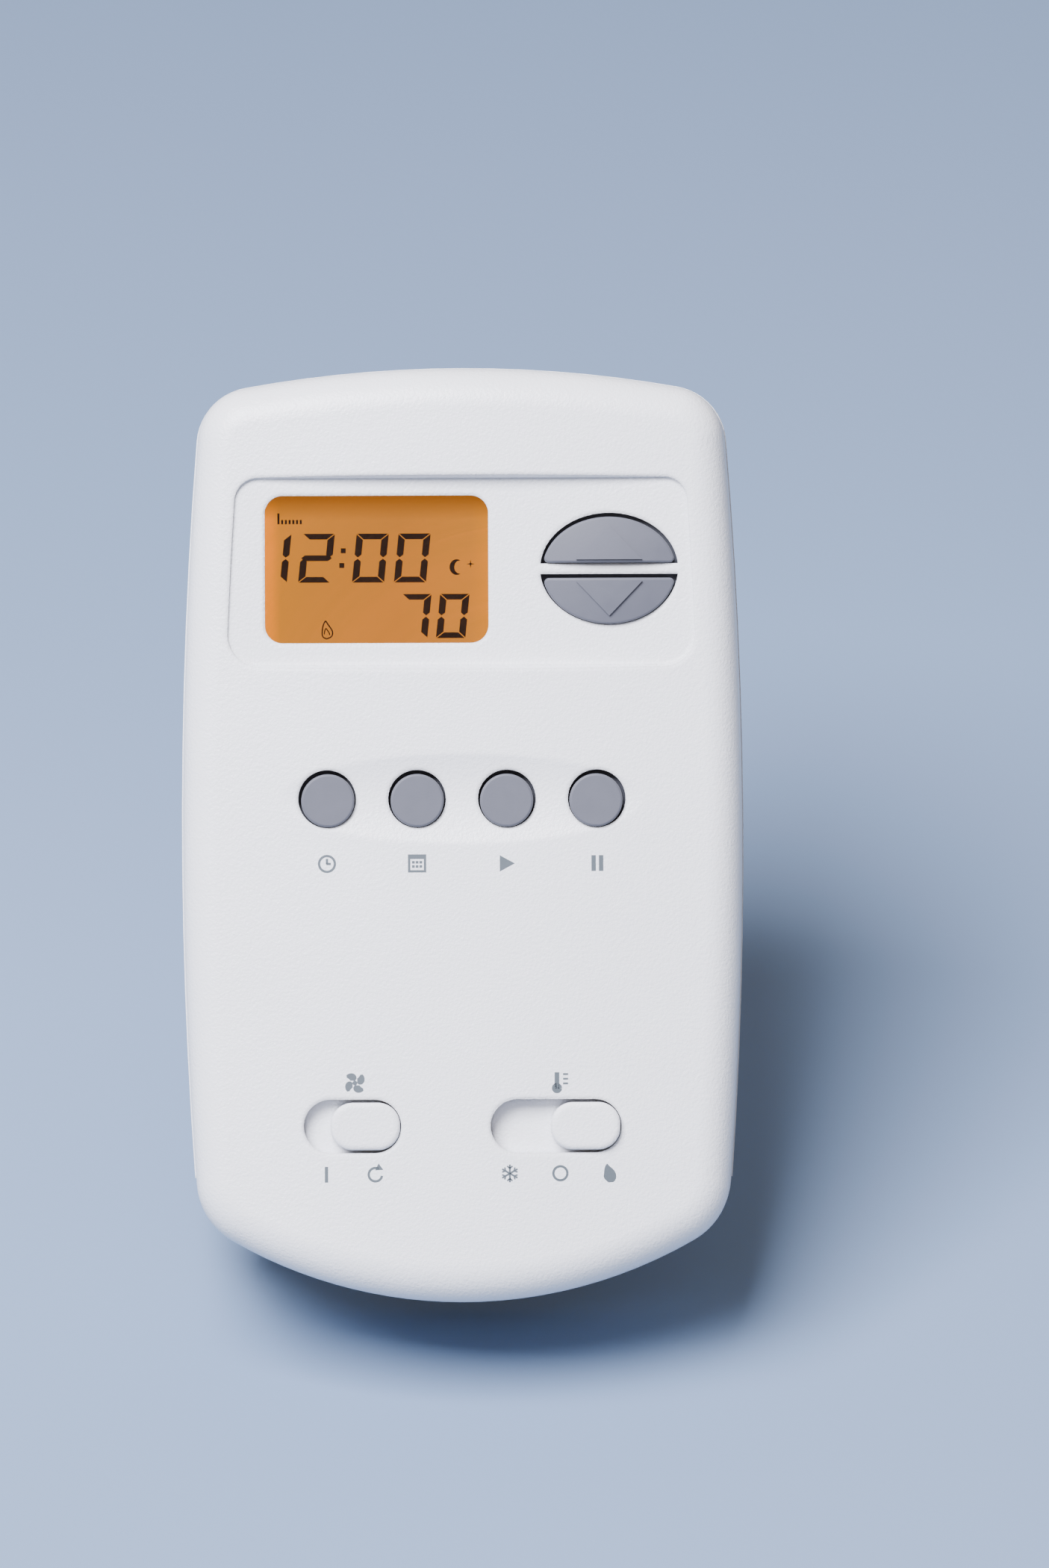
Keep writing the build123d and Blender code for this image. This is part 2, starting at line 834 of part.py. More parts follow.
for name, way in (("upper", 1), ("lower", -1)):
    # The cells lie opposite ways; the nub counts in a cell's length.
    z = battery_z + way * battery_pitch / 2
    body_length = battery_length - battery_nub
    with BuildPart() as battery:
        with Locations(Location((-way * battery_nub / 2, -battery_depth, z), (0, 90, 0))):
            Cylinder(battery_radius, body_length)
        fillet(battery.edges().filter_by(GeomType.CIRCLE), battery_edge_round)
        with Locations(Location((way * (battery_length - battery_nub) / 2, -battery_depth, z), (0, 90, 0))):
            Cylinder(battery_nub_radius, battery_nub)
    save(battery.part, f"battery_{name}")

# Bent leaf at each end of each cell: a flat on the holder's wall and a tongue on the cell.
with BuildPart() as battery_contacts:
    for end in (1, -1):
        for way in (1, -1):
            with BuildSketch(Plane.XY.offset(battery_z + way * battery_pitch / 2 - contact_width / 2)):
                with BuildLine():
                    wall_x = end * holder_half_length
                    cell_x = end * (battery_length / 2)
                    Polyline(
                        (wall_x, -(holder_front - 0.5)),
                        (wall_x - end * contact_thickness, -(holder_front - 0.5)),
                        (wall_x - end * contact_thickness, -(battery_depth + 2.6)),
                        (cell_x, -battery_depth),
                        (wall_x - end * contact_thickness, -(battery_depth - 2.4)),
                        (wall_x, -(battery_depth - 2.0)),
                        (cell_x + end * 1.6 * contact_thickness, -battery_depth),
                        (wall_x, -(battery_depth + 2.2)),
                        close=True,
                    )
                make_face()
            extrude(amount=contact_width)
save(battery_contacts.part, "battery_contacts")

# ---- wall base -----------------------------------------------------------------------------------

base_inset = cover_wall + base_rim_gap
with BuildPart() as base_plate:
    # Flange behind the cover's edge: a hair proud of it down the sides, tucked under it below.
    extrude(case_outline(0, -base_flange_proud), amount=base_flange)
    below_z = base_flange_end_z - case_height / 2
    block_at(0, below_z, 0, 2 * case_width, case_height, base_flange, Mode.SUBTRACT)
    extrude(case_outline(0, base_flange_tuck), amount=base_flange)
    extrude(case_outline(0, base_inset), amount=base_rim_depth)
    extrude(case_outline(base_floor, base_inset + base_rim_wall), amount=base_rim_depth, mode=Mode.SUBTRACT)
    for way in (1, -1):
        post_at(0, way * mounting_hole_pitch / 2, base_floor, mounting_pad_radius, mounting_pad)
        post_at(
            0,
            way * mounting_hole_pitch / 2,
            0,
            mounting_hole_radius,
            base_floor + mounting_pad,
            Mode.SUBTRACT,
        )
    with BuildSketch(plane_at(0)):
        with Locations((0, wire_opening_z)):
            RectangleRounded(*wire_opening, wire_opening_corner)
    extrude(amount=base_floor, mode=Mode.SUBTRACT)
save(base_plate.part, "base_plate")

plate_bottom = block_bottom_z + block_wall + plate_margin
plate_z = (block_top_z - plate_margin + plate_bottom) / 2
plate_length = block_top_z - plate_margin - plate_bottom

with BuildPart() as terminal_block:
    block_at(
        0,
        (block_top_z + block_bottom_z) / 2,
        base_floor,
        2 * block_half_width,
        block_top_z - block_bottom_z,
        block_height,
    )
    for x in terminals:
        # Bay, open at the top end for the wire, with a hole in its floor for the screw's tip.
        block_at(
            x,
            (block_top_z + block_bottom_z) / 2 + block_wall,
            plate_depth,
            bay_width,
            block_top_z - block_bottom_z,
            block_height,
            Mode.SUBTRACT,
        )
        post_at(x, screw_z, base_floor, terminal_screw_radius + screw_hole_gap, bay_floor, Mode.SUBTRACT)
save(terminal_block.part, "terminal_block")

with BuildPart() as terminal_contacts:
    for x in terminals:
        # Flat under the screw and a sprung fork round the cover's pin, folded from one strip.
        block_at(x, plate_z, plate_depth, plate_width, plate_length, plate_thickness)
        post_at(
            x, screw_z, plate_depth, terminal_screw_radius + screw_hole_gap, plate_thickness, Mode.SUBTRACT
        )
        for way in (1, -1):
            block_at(
                x + way * (pin_size / 2 + fork_gap + fork_tine / 2),
                socket_z,
                plate_front,
                fork_tine,
                pin_strip_width,
                fork_height,
            )
save(terminal_contacts.part, "terminal_contacts")

with BuildPart() as terminal_screws:
    for x in terminals:
        post_at(x, screw_z, plate_front, terminal_screw_head_radius, terminal_screw_head)
        post_at(
            x, screw_z, plate_front - terminal_screw_length, terminal_screw_radius, terminal_screw_length
        )
        block_at(
            x,
            screw_z,
            plate_front + terminal_screw_head - screw_slot,
            2 * terminal_screw_head_radius,
            screw_slot,
            screw_slot,
            Mode.SUBTRACT,
        )
save(terminal_screws.part, "terminal_screws")

# Factory link between the first two terminals, bent from one length of wire.
with BuildPart() as jumper_wire:
    wire_depth = -(plate_front + jumper_radius)
    out_z = block_top_z + jumper_out
    with BuildLine():
        FilletPolyline(
            (terminals[0], wire_depth, jumper_end_z),
            (terminals[0], wire_depth, out_z),
            (terminals[1], wire_depth, out_z),
            (terminals[1], wire_depth, jumper_end_z),
            radius=jumper_bend,
        )
    with BuildSketch(Plane((terminals[0], wire_depth, jumper_end_z))):
        Circle(jumper_radius)
    sweep()
save(jumper_wire.part, "jumper_wire")
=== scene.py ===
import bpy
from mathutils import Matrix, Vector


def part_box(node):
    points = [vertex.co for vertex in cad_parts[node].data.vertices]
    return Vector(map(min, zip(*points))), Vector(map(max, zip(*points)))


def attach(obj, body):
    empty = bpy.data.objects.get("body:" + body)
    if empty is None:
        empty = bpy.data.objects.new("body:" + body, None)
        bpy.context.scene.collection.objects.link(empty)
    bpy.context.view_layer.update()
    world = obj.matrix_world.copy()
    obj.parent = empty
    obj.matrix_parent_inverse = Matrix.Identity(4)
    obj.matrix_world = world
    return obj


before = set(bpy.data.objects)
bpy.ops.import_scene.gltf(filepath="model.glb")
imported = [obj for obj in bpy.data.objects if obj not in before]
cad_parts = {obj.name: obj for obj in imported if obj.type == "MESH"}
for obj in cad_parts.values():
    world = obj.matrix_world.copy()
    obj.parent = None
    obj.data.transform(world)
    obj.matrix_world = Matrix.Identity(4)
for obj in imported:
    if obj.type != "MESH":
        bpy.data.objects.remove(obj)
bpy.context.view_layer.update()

import math

import bpy
import numpy as np

# ---- Wall base ------------------------------------------------------------------------------------
# The plate that screws to the wall: white ABS, injection moulded, with the same spark-eroded grain as
# the cover. The grain scatters the light, so it looks matt with tiny bright specks. The real one is
# about 0.1 mm, too fine to show, so it is drawn 0.42 mm wide.


def linear(code, alpha=1.0):
    """Turns an sRGB hex colour such as "E8E9EC" into linear red, green, blue and alpha."""
    srgb = np.array([int(code[i : i + 2], 16) for i in (0, 2, 4)]) / 255
    rgb = np.where(srgb <= 0.04045, srgb / 12.92, ((srgb + 0.055) / 1.055) ** 2.4)
    return (*rgb.tolist(), alpha)


def add_node(tree, kind, inputs=None, **settings):
    """Adds one node: settings are its own properties; inputs are socket values, or sockets to link."""
    node = tree.nodes.new(kind)
    for name, value in settings.items():
        setattr(node, name, value)
    for name, value in (inputs or {}).items():
        if isinstance(value, bpy.types.NodeSocket):
            tree.links.new(value, node.inputs[name])
        else:
            node.inputs[name].default_value = value
    return node


def new_material(name, **sockets):
    """A material with a Principled shader; sockets are constants, such as Roughness=0.4."""
    material = bpy.data.materials.new(name)
    material.use_nodes = True
    tree = material.node_tree
    shader = tree.nodes["Principled BSDF"]
    for socket, value in sockets.items():
        shader.inputs[socket.replace("_", " ")].default_value = value
    place = add_node(tree, "ShaderNodeTexCoord").outputs["Object"]
    return material, tree, shader, place


def blend_colours(tree, factor, low, high):
    """Colour that runs from hex colour low to high as factor goes from 0 to 1."""
    mix = add_node(tree, "ShaderNodeMix", {"Factor": factor}, data_type="RGBA")
    mix.inputs["A"].default_value = linear(low)
    mix.inputs["B"].default_value = linear(high)
    return mix.outputs["Result"]


def finish_nodes(material, *names):
    """Puts a material in every slot of these CAD nodes."""
    for name in names:
        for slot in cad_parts[name].material_slots:
            slot.material = material


def moulded_abs(name, low, high, grain_mm, grain_depth, edge_round):
    """Moulded ABS: edges rounded by the mould under a noise as fine as its grain, all in millimetres."""
    material, tree, shader, place = new_material(name, IOR=1.53)
    grain = add_node(
        tree,
        "ShaderNodeTexNoise",
        {"Vector": place, "Scale": 1000 / grain_mm, "Detail": 3.0, "Roughness": 0.6},
    )
    cloud_mm = 25
    cloud = add_node(tree, "ShaderNodeTexNoise", {"Vector": place, "Scale": 1000 / cloud_mm, "Detail": 2.0})
    shine = add_node(
        tree, "ShaderNodeMapRange", {"Value": grain.outputs["Fac"], "To Min": 0.22, "To Max": 0.4}
    )
    softened = add_node(tree, "ShaderNodeBevel", {"Radius": edge_round / 1000}, samples=4)
    bump = add_node(
        tree,
        "ShaderNodeBump",
        {
            "Height": grain.outputs["Fac"],
            "Strength": 0.9,
            "Distance": grain_depth / 1000,
            "Normal": softened.outputs["Normal"],
        },
    )
    tree.links.new(blend_colours(tree, cloud.outputs["Fac"], low, high), shader.inputs["Base Color"])
    tree.links.new(shine.outputs["Result"], shader.inputs["Roughness"])
    tree.links.new(bump.outputs["Normal"], shader.inputs["Normal"])
    return material


grained_abs = moulded_abs(
    "spark_eroded_white_abs", "DDDFE5", "E4E6EC", grain_mm=0.42, grain_depth=0.1, edge_round=0.9
)
finish_nodes(grained_abs, "base_plate")

# ---- Numbers below the terminals --------------------------------------------------------------------
# Numbers 1 to 6 printed in grey ink on the base below each terminal, so the wires can be told apart.
# Pad-printed ink stands about a hundredth of a millimetre above what it is printed on.

STROKES = {  # the seven bars of a digit: start and end as shares of its width and height
    "a": ((0, 1), (1, 1)),
    "b": ((1, 1), (1, 0.5)),
    "c": ((1, 0.5), (1, 0)),
    "d": ((0, 0), (1, 0)),
    "e": ((0, 0.5), (0, 0)),
    "f": ((0, 1), (0, 0.5)),
    "g": ((0, 0.5), (1, 0.5)),
}
BARS = {  # the bars that each digit lights
    "0": "abcdef",
    "1": "bc",
    "2": "abged",
    "3": "abgcd",
    "4": "fgbc",
    "5": "afgcd",
    "6": "afgedc",
    "7": "abc",
}
UPRIGHT = 1.2  # thickness of an upright bar over that of a level one


def strip(points, widths):
    """Flat strip along a path in the X-Z plane: at each point, half the width to each side of the path."""
    points = np.asarray(points, float)
    along = np.gradient(points, axis=0)
    along /= np.linalg.norm(along, axis=1, keepdims=True)
    across = np.stack([-along[:, 1], along[:, 0]], 1) * np.broadcast_to(widths, len(points))[:, None] / 2
    return np.stack([points - across, points + across], 1)


def digit(character, left, low, width, height, thick, slant=0.0):
    """Seven-bar digit in a box: bars cut slantwise at a corner and pointed where they meet halfway up."""
    shapes = []
    width /= UPRIGHT
    middle = np.array([width, height]) / 2
    columns = np.array([[0], [0.5], [1]])  # outer edge, middle line and inner edge of a bar
    for name in BARS[character]:
        start, end = (np.array(place) * (width, height) for place in STROKES[name])
        along = (end - start) / np.linalg.norm(end - start)
        across = np.array([-along[1], along[0]])
        side = int(np.sign(across @ (middle - start))) or 1
        inward = across * side
        first = start - inward * thick / 2 if name == "g" else start
        last = first + end - start
        rows = []
        for place, way, (_, share) in ((first, 1, STROKES[name][0]), (last, -1, STROKES[name][1])):
            cut = np.array([[0.5], [0], [0.5]] if share == 0.5 else [[0], [0.5], [1]]) + 0.1
            rows.append(place + (way * cut * along + columns * inward) * thick)
        shapes.append(np.array(rows)[:, ::side])
    for shape in shapes:
        shape[..., 0] = left + UPRIGHT * shape[..., 0] + shape[..., 1] * math.tan(math.radians(slant))
        shape[..., 1] += low
    return shapes


def surface_object(name, grids, material, body):
    """Mesh of one or more grids of points (rows, columns, x y z, in millimetres), a quad in each cell."""
    points, faces, start = [], [], 0
    for grid in grids:
        rows, columns = grid.shape[:2]
        corner = start + np.arange(rows * columns).reshape(rows, columns)
        faces.append(
            np.stack([corner[:-1, :-1], corner[1:, :-1], corner[1:, 1:], corner[:-1, 1:]], -1).reshape(-1, 4)
        )
        points.append(grid.reshape(-1, 3))
        start += rows * columns
    mesh = bpy.data.meshes.new(name)
    mesh.from_pydata((np.concatenate(points) / 1000).tolist(), [], np.concatenate(faces).tolist())
    mesh.materials.append(material)
    piece = bpy.data.objects.new(name, mesh)
    bpy.context.scene.collection.objects.link(piece)
    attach(piece, body)


def laid_on(shapes, depth_at):
    """Lays flat X-Z shapes on a surface: depth_at gives the distance from the wall at each x."""
    return [np.stack([s[..., 0], -depth_at(s[..., 0]), s[..., 1]], -1) for s in shapes]


def printed_ink(name, low, high):
    """Pad-printed ink: an even colour, faintly mottled every 0.4 mm by the grain underneath."""
    material, tree, shader, place = new_material(name, IOR=1.5, Roughness=0.5)
    mottle = add_node(tree, "ShaderNodeTexNoise", {"Vector": place, "Scale": 2500.0, "Detail": 2.0})
    tree.links.new(blend_colours(tree, mottle.outputs["Fac"], low, high), shader.inputs["Base Color"])
    return material


grey_ink = printed_ink("pad_printed_grey_ink", "475058", "4F5860")
terminal_pitch = 8.0
number_low, number_width, number_height = -35.75, 1.4, 2.1
base_floor, ink = 2.0, 0.015
base_numbers = []
for i in range(6):
    number_left = (i - 2.5) * terminal_pitch - number_width / 2
    base_numbers += digit(str(i + 1), number_left, number_low, number_width, number_height, 0.3)
surface_object(
    "terminal_numbers",
    laid_on(base_numbers, lambda x: 0 * x + base_floor + ink),
    grey_ink,
    "wall_base",
)

# ---- Terminals --------------------------------------------------------------------------------------
# A black nylon block with six bays, each with a tin-plated brass strip folded up into a sprung fork and
# a plated steel screw that clamps the wire. A tinned copper wire links two of them. The pins that meet
# the forks, the board's screws and the battery leaves are plated alike.


def moulded_black(name, low, high, roughness):
    """Moulded nylon or epoxy: near black, its sheen broken by flow marks 3 mm apart and a 0.3 mm skin."""
    material, tree, shader, place = new_material(name, IOR=1.53)
    flow = add_node(tree, "ShaderNodeTexNoise", {"Vector": place, "Scale": 350.0, "Detail": 4.0})
    fine = add_node(tree, "ShaderNodeTexNoise", {"Vector": place, "Scale": 3300.0, "Detail": 2.0})
    dull = add_node(
        tree,
        "ShaderNodeMapRange",
        {"Value": flow.outputs["Fac"], "To Min": roughness - 0.08, "To Max": roughness + 0.08},
    )
    bump = add_node(
        tree, "ShaderNodeBump", {"Height": fine.outputs["Fac"], "Strength": 0.3, "Distance": 2e-5}
    )
    tree.links.new(blend_colours(tree, flow.outputs["Fac"], low, high), shader.inputs["Base Color"])
    tree.links.new(dull.outputs["Result"], shader.inputs["Roughness"])
    tree.links.new(bump.outputs["Normal"], shader.inputs["Normal"])
    return material


def plated_metal(name, low, high, roughness, stretch=(1, 1, 1)):
    """Plated sheet or bar: scratches along the way it was rolled or turned. Real ones are a few
    hundredths of a millimetre wide, too fine to show, so they are drawn about 0.36 mm wide."""
    material, tree, shader, place = new_material(name, Metallic=1.0)
    turned = add_node(tree, "ShaderNodeMapping", {"Vector": place, "Scale": stretch})
    scratches = add_node(
        tree, "ShaderNodeTexNoise", {"Vector": turned.outputs["Vector"], "Scale": 2800.0, "Detail": 3.0}
    )
    dull = add_node(
        tree,
        "ShaderNodeMapRange",
        {"Value": scratches.outputs["Fac"], "To Min": roughness - 0.1, "To Max": roughness + 0.12},
    )
    bump = add_node(
        tree, "ShaderNodeBump", {"Height": scratches.outputs["Fac"], "Strength": 0.25, "Distance": 1e-5}
    )
    tree.links.new(blend_colours(tree, scratches.outputs["Fac"], low, high), shader.inputs["Base Color"])
    tree.links.new(dull.outputs["Result"], shader.inputs["Roughness"])
    tree.links.new(bump.outputs["Normal"], shader.inputs["Normal"])
    return material


finish_nodes(moulded_black("moulded_black_nylon", "17181A", "222326", 0.45), "terminal_block", "pin_strip")
finish_nodes(
    plated_metal("tin_plated_brass", "B9B5A8", "D2CFC4", 0.32, (1, 1, 0.15)),
    "terminal_contacts",
    "header_pins",
)
finish_nodes(
    plated_metal("bright_plated_steel", "B4B5B4", "D6D6D2", 0.25),
    "terminal_screws",
    "board_screws",
    "battery_contacts",
)
finish_nodes(plated_metal("tinned_copper_wire", "B8B4AC", "D8D2C8", 0.28, (0.2, 1, 0.2)), "jumper_wire")

# ---- Circuit board ----------------------------------------------------------------------------------
# Glass-epoxy sheet, woven 0.6 mm apart, with copper tracks under green solder mask. The mask is a thin
# glossy lacquer, a shade lighter and very slightly raised where a track runs under it.

board_mask, tree, shader, place = new_material(
    "green_solder_mask", IOR=1.5, Coat_Weight=0.3, Coat_Roughness=0.1
)
laid_flat = add_node(tree, "ShaderNodeMapping", {"Vector": place, "Rotation": (math.pi / 2, 0, 0)})
tracks = add_node(  # tracks 0.3 mm wide in rows one tenth of an inch apart
    tree,
    "ShaderNodeTexBrick",
    {
        "Vector": laid_flat.outputs["Vector"],
        "Scale": 1.0,
        "Mortar Size": 0.00015,
        "Mortar Smooth": 0.2,
        "Brick Width": 0.0127,
        "Row Height": 0.00254,
    },
    offset=0.37,
)
weave = add_node(tree, "ShaderNodeTexNoise", {"Vector": place, "Scale": 1600.0, "Detail": 2.0})
tree.links.new(blend_colours(tree, tracks.outputs["Fac"], "14512A", "2C7A41"), shader.inputs["Base Color"])
gloss = add_node(tree, "ShaderNodeMapRange", {"Value": weave.outputs["Fac"], "To Min": 0.25, "To Max": 0.42})
raised = add_node(
    tree, "ShaderNodeBump", {"Height": tracks.outputs["Fac"], "Strength": 0.4, "Distance": 4e-5}
)
tree.links.new(gloss.outputs["Result"], shader.inputs["Roughness"])
tree.links.new(raised.outputs["Normal"], shader.inputs["Normal"])
finish_nodes(board_mask, "main_board")

# ---- Parts on the board -----------------------------------------------------------------------------
# Chip, relays, selector case and switch levers are moulded black, the capacitor is a drawn aluminium
# can, the sensor a bead dipped in dark epoxy, and the slide switches are folded from tinned steel. The
# display frame, battery holder and selector lever are white ABS from a polished mould.

finish_nodes(
    moulded_black("moulded_black_epoxy", "131416", "1E1F22", 0.38),
    "control_chip",
    "relays",
    "selector_body",
    "fan_lever",
    "system_lever",
)
finish_nodes(plated_metal("drawn_aluminium_can", "AEB1B5", "C9CCCF", 0.3, (1, 0.1, 1)), "capacitor")
finish_nodes(moulded_black("dipped_epoxy_bead", "1B1412", "2A1E1A", 0.22), "thermistor")
finish_nodes(
    plated_metal("tinned_sheet_steel", "A9ABAC", "C6C8C8", 0.35, (1, 0.2, 1)), "fan_switch", "system_switch"
)
plain_abs = moulded_abs(
    "polished_mould_white_abs", "DBDBD8", "E3E3E0", grain_mm=0.8, grain_depth=0.012, edge_round=0.2
)
finish_nodes(plain_abs, "lcd_frame", "battery_holder", "selector_lever")

# ---- Batteries --------------------------------------------------------------------------------------
# Two AA cells lying opposite ways: a steel can in a printed plastic sleeve, dark for most of its
# length with a copper-coloured band next to the bare steel nub. It has scuffs about 1 mm apart.

cell_left, cell_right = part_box("battery_upper")[0].x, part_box("battery_upper")[1].x
band_reach = 0.05  # the colour bands end at shares of this length, in from the nub
nub_share, copper_share = 0.045, 0.33
for name, way in (("battery_upper", 1), ("battery_lower", -1)):
    sleeve, tree, shader, place = new_material(
        f"printed_sleeve_{name}", IOR=1.5, Coat_Weight=0.4, Coat_Roughness=0.08
    )
    across = add_node(tree, "ShaderNodeSeparateXYZ", {"Vector": place}).outputs["X"]
    nub_end = cell_right if way > 0 else cell_left
    inward = add_node(
        tree,
        "ShaderNodeMapRange",
        {"Value": across, "From Min": nub_end, "From Max": nub_end - way * band_reach},
    )
    bands = add_node(tree, "ShaderNodeValToRGB", {"Fac": inward.outputs["Result"]})
    bands.color_ramp.interpolation = "CONSTANT"
    bands.color_ramp.elements[0].color = linear("B9BABA")
    bands.color_ramp.elements[1].color = linear("20242A")
    for stop, code in ((nub_share, "9C5B33"), (copper_share, "20242A")):
        bands.color_ramp.elements.new(stop).color = linear(code)
    scuffs = add_node(tree, "ShaderNodeTexNoise", {"Vector": place, "Scale": 900.0, "Detail": 4.0})
    worn = add_node(
        tree, "ShaderNodeMapRange", {"Value": scuffs.outputs["Fac"], "To Min": 0.22, "To Max": 0.45}
    )
    bare = add_node(
        tree, "ShaderNodeMath", {0: inward.outputs["Result"], 1: nub_share}, operation="LESS_THAN"
    )
    tree.links.new(bands.outputs["Color"], shader.inputs["Base Color"])
    tree.links.new(worn.outputs["Result"], shader.inputs["Roughness"])
    tree.links.new(bare.outputs["Value"], shader.inputs["Metallic"])
    finish_nodes(sleeve, name)

# ---- Display ----------------------------------------------------------------------------------------
# A liquid-crystal cell lit from behind through an acrylic guide by two amber lamps at its left end, so
# it glows brightest there. The lit glass is frosted 0.3 mm fine. The crystal turns dark in bars and
# signs, just before the back of its front glass.

glow, tree, shader, place = new_material("amber_lit_glass", IOR=1.52, Roughness=0.45)
axes = add_node(tree, "ShaderNodeSeparateXYZ", {"Vector": place})
hidden = 0.001  # edge of the window that lies behind the panel
window_left, window_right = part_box("display_window")[0].x + hidden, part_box("display_window")[1].x - hidden
sideways = add_node(
    tree,
    "ShaderNodeMapRange",
    {"Value": axes.outputs["X"], "From Min": window_left, "From Max": window_right},
)
amber = add_node(tree, "ShaderNodeValToRGB", {"Fac": sideways.outputs["Result"]})
amber.color_ramp.elements[0].color = linear("BE7304")
amber.color_ramp.elements[1].color = linear("A96C14")
steps = ((0.025, "BA7106"), (0.07, "A0671A"), (0.2, "9D651E"), (0.6, "9A6220"), (0.92, "9E6620"))
for stop, code in steps:
    amber.color_ramp.elements.new(stop).color = linear(code)
upward = add_node(  # painted shadow of the window's top edge: the glow is darker just under it
    tree, "ShaderNodeMapRange", {"Value": axes.outputs["Z"], "From Min": 0.0407, "From Max": 0.0435}
)
amber_under_painted_shadow = add_node(
    tree,
    "ShaderNodeMix",
    {"Factor": upward.outputs["Result"], "A": amber.outputs["Color"], "B": linear("7A4711")},
    data_type="RGBA",
)
grain = add_node(tree, "ShaderNodeTexNoise", {"Vector": place, "Scale": 3000.0, "Detail": 2.0})
frosted = add_node(
    tree, "ShaderNodeBump", {"Height": grain.outputs["Fac"], "Strength": 0.15, "Distance": 1e-5}
)
for socket in ("Base Color", "Emission Color"):
    tree.links.new(amber_under_painted_shadow.outputs["Result"], shader.inputs[socket])
tree.links.new(frosted.outputs["Normal"], shader.inputs["Normal"])
shader.inputs["Emission Strength"].default_value = 2.75
finish_nodes(glow, "lcd_rear_glass", "light_guide", "lcd_rear_polarizer", "backlight_leds")


def clear_sheet(name, tint, alpha, roughness):
    """Clear glass or film: mostly seen through, with a sharp reflection that hazes a little every 8 mm."""
    material, tree, shader, place = new_material(name, Base_Color=linear(tint), IOR=1.5, Alpha=alpha)
    ripple = add_node(tree, "ShaderNodeTexNoise", {"Vector": place, "Scale": 120.0, "Detail": 1.0})
    haze = add_node(
        tree,
        "ShaderNodeMapRange",
        {"Value": ripple.outputs["Fac"], "To Min": roughness, "To Max": roughness + 0.04},
    )
    tree.links.new(haze.outputs["Result"], shader.inputs["Roughness"])
    return material


finish_nodes(clear_sheet("float_glass", "101212", 0.04, 0.03), "lcd_front_glass")
finish_nodes(clear_sheet("polarising_film", "2A1E12", 0.08, 0.2), "lcd_front_polarizer")
finish_nodes(clear_sheet("clear_polycarbonate", "121313", 0.06, 0.05), "display_window")

dark_crystal = printed_ink("darkened_liquid_crystal", "5B2F19", "643620")
crystal = 0.05  # how far the dark crystal stands before the back of the front glass
cell_depth = -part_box("lcd_front_glass")[1].y * 1000 + crystal
slant, bar_thickness, dot = 5.7, 0.74, 0.64
marks = []
for character, left in (("1", -26.65), ("2", -21.05), ("0", -14.1), ("0", -8.7)):
    marks += digit(character, left, 32.65, 4.15, 6.3, bar_thickness, slant)
for character, left in (("7", -8.2), ("0", -3.3)):
    marks += digit(character, left, 25.45, 3.8, 5.7, bar_thickness, slant)
for x, z in ((-15.2, 36.75), (-15.4, 34.85)):
    marks.append(strip([(x - dot / 2, z), (x + dot / 2, z)], dot))
rise = np.linspace(0, 1, 13)  # height in a flame, as a share, from the foot up
flame_half = 0.66 * np.sin(math.pi * rise**0.6) ** 0.9 + 0.02  # half its width at each height
flame = np.stack([0.12 * np.sin(rise * 5), 2.3 * rise], 1)  # its middle line
reach = np.stack([flame_half, 0 * rise], 1)
outline = np.concatenate([flame - reach, (flame + reach)[::-1], (flame - reach)[:1]])
marks.append(strip(outline + (-17.4, 25.4), 0.17))
marks.append(strip(outline[4:23] * 0.5 + (-17.4, 25.6), 0.14))
half_arc = 1.9
moon = np.linspace(-half_arc, half_arc, 17)  # a crescent and a star, for the evening half of the day
moon_width = 0.6 * np.cos(moon / half_arc * math.pi / 2) + 0.03
marks.append(strip(np.stack([-0.4 - 0.8 * np.cos(moon), 34.6 + 0.9 * np.sin(moon)], 1), moon_width))
for way in ((0.5, 0), (0, 0.5)):
    marks.append(strip(np.multiply.outer([-1, 0, 1], way) + (1.2, 35.0), [0.02, 0.2, 0.02]))
for day in range(7):  # one tick for each day of the week, today's standing tall
    x, top = -23.55 + 0.48 * day, 41.6 if day == 0 else 40.75
    marks.append(strip([(x, 40.2), (x, top)], 0.27))
surface_object(
    "display_bars", laid_on(marks, lambda x: 0 * x + cell_depth), dark_crystal, "cover"
)

# ---- Keypad -----------------------------------------------------------------------------------------
# One sheet of grey silicone rubber, compression moulded, with a thin collapsing skirt under each key
# and a pill of carbon-filled rubber. Silicone is matt, with a skin 0.3 mm fine and a faint bloom every
# 2.4 mm, and looks slightly soft.

silicone, tree, shader, place = new_material(
    "compression_moulded_silicone", IOR=1.42, Sheen_Weight=0.15, Sheen_Roughness=0.5
)
bloom = add_node(tree, "ShaderNodeTexNoise", {"Vector": place, "Scale": 420.0, "Detail": 4.0})
skin = add_node(tree, "ShaderNodeTexNoise", {"Vector": place, "Scale": 3600.0, "Detail": 2.0})
dull = add_node(
    tree, "ShaderNodeMapRange", {"Value": bloom.outputs["Fac"], "To Min": 0.48, "To Max": 0.64}
)
bump = add_node(
    tree, "ShaderNodeBump", {"Height": skin.outputs["Fac"], "Strength": 0.35, "Distance": 2e-5}
)
tree.links.new(blend_colours(tree, bloom.outputs["Fac"], "4C4E59", "545661"), shader.inputs["Base Color"])
tree.links.new(dull.outputs["Result"], shader.inputs["Roughness"])
tree.links.new(bump.outputs["Normal"], shader.inputs["Normal"])
key_names = ["up", "down", "row_1", "row_2", "row_3", "row_4"]
finish_nodes(silicone, "keypad_web", *[f"{part}_{key}" for part in ("key", "dome") for key in key_names])
carbon = moulded_black("carbon_filled_rubber", "0F0F10", "191A1B", 0.6)
finish_nodes(carbon, "zebra_strips", *[f"pill_{key}" for key in key_names])

